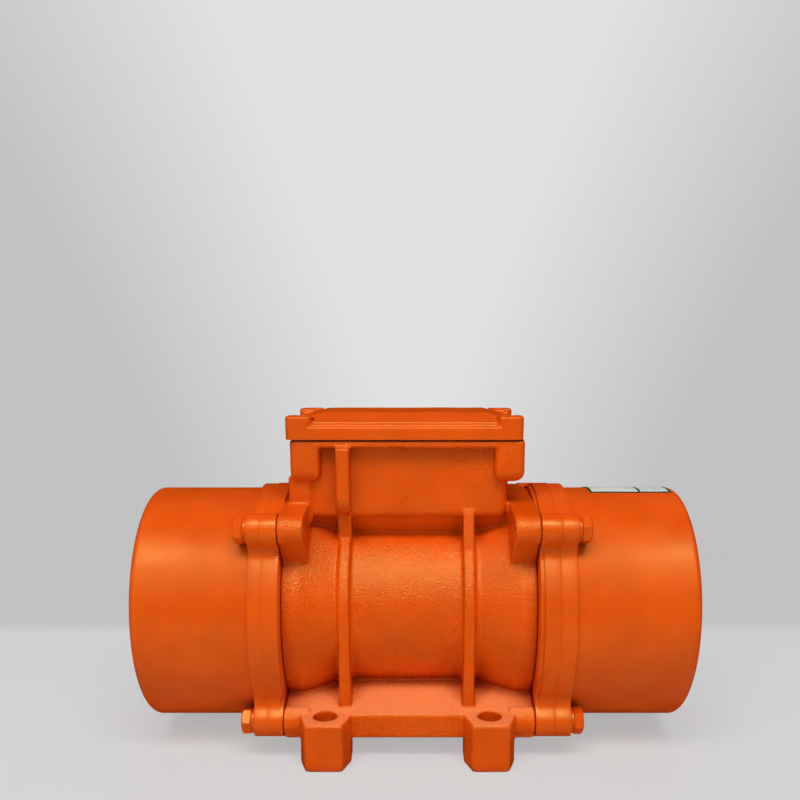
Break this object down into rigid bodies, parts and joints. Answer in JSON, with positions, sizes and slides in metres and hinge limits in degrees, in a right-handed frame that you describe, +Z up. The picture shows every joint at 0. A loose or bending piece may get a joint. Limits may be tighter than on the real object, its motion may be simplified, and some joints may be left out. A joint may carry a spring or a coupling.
{
  "type": "vibration motor",
  "caption": "Foot-mounted electric vibration motor with a ribbed cast casing, a terminal box on top and a deep round weight cover at each end.",
  "frame": {"origin": "centre of the four foot holes on the mounting plane, under the feet", "axes": "+X along the shaft, +Z up from the mounting plane, front towards -Y"},
  "size_m": [0.3043, 0.151, 0.1886],
  "materials": {
    "casting_enamel": "satin",
    "cover_enamel": "satin",
    "lid_enamel": "satin",
    "bolt_enamel": "satin",
    "gasket_rubber": "matte",
    "zinc_steel": "satin",
    "terminal_brass": "satin",
    "terminal_plastic": "matte",
    "gland_plastic": "satin",
    "lamination_steel": "matte",
    "winding_copper": "satin",
    "cage_aluminium": "satin",
    "shaft_steel": "satin",
    "bearing_steel": "polished",
    "bearing_brass": "satin",
    "weight_steel": "matte"
  },
  "bodies": {
    "motor_body": {"cable_gland_body": "gland_plastic", "cable_gland_nut": "gland_plastic", "cable_gland_seal": "gasket_rubber", "casing": "casting_enamel", "earth_screw": "zinc_steel", "left_bearing_cap": "shaft_steel", "left_bearing_cap_screws": "zinc_steel", "left_bearing_flange": "casting_enamel", "left_bearing_outer_ring": "bearing_steel", "left_cover_bolts": "bolt_enamel", "left_cover_seal": "gasket_rubber", "left_cover_washers": "bolt_enamel", "left_weight_cover": "cover_enamel", "lid_gasket": "gasket_rubber", "lid_screws": "bolt_enamel", "right_bearing_cap": "shaft_steel", "right_bearing_cap_screws": "zinc_steel", "right_bearing_flange": "casting_enamel", "right_bearing_outer_ring": "bearing_steel", "right_cover_bolts": "bolt_enamel", "right_cover_seal": "gasket_rubber", "right_cover_washers": "bolt_enamel", "right_weight_cover": "cover_enamel", "stator_core": "lamination_steel", "stator_windings": "winding_copper", "terminal_block": "terminal_plastic", "terminal_block_screws": "zinc_steel", "terminal_box_lid": "lid_enamel", "terminal_links": "terminal_brass", "terminal_nuts": "terminal_brass", "terminal_studs": "terminal_brass"},
    "rotor": {"shaft": "shaft_steel", "rotor_core": "lamination_steel", "rotor_cage": "cage_aluminium", "left_bearing_inner_ring": "bearing_steel", "left_grease_ring": "shaft_steel", "left_fixed_weight": "weight_steel", "left_weight_key": "shaft_steel", "left_setting_disc": "shaft_steel", "left_shaft_nut": "zinc_steel", "right_bearing_inner_ring": "bearing_steel", "right_grease_ring": "shaft_steel", "right_fixed_weight": "weight_steel", "right_weight_key": "shaft_steel", "right_setting_disc": "shaft_steel", "right_shaft_nut": "zinc_steel"},
    "left_outer_weight": {"left_adjustable_weight": "weight_steel", "left_clamp_bolt": "zinc_steel"},
    "left_roller_set": {"left_bearing_rollers": "bearing_steel", "left_bearing_cage": "bearing_brass"},
    "right_outer_weight": {"right_adjustable_weight": "weight_steel", "right_clamp_bolt": "zinc_steel"},
    "right_roller_set": {"right_bearing_rollers": "bearing_steel", "right_bearing_cage": "bearing_brass"}
  },
  "joints": [
    {"name": "rotor_spin", "type": "hinge", "parent": "motor_body", "child": "rotor", "pos_m": [0, 0, 0.075], "axis": [1, 0, 0], "continuous": true},
    {"name": "left_roller_spin", "type": "hinge", "parent": "motor_body", "child": "left_roller_set", "pos_m": [-0.066, 0, 0.075], "axis": [1, 0, 0], "continuous": true},
    {"name": "right_roller_spin", "type": "hinge", "parent": "motor_body", "child": "right_roller_set", "pos_m": [0.066, 0, 0.075], "axis": [1, 0, 0], "continuous": true},
    {"name": "left_weight_setting", "type": "hinge", "parent": "rotor", "child": "left_outer_weight", "pos_m": [-0.1179, 0, 0.075], "axis": [1, 0, 0], "range_deg": [0, 180]},
    {"name": "right_weight_setting", "type": "hinge", "parent": "rotor", "child": "right_outer_weight", "pos_m": [0.1179, 0, 0.075], "axis": [1, 0, 0], "range_deg": [0, 180]}
  ],
  "couplings": [
    {"joint": "left_roller_spin", "follows": "rotor_spin", "ratio": 0.3955},
    {"joint": "right_roller_spin", "follows": "rotor_spin", "ratio": 0.3955}
  ]
}
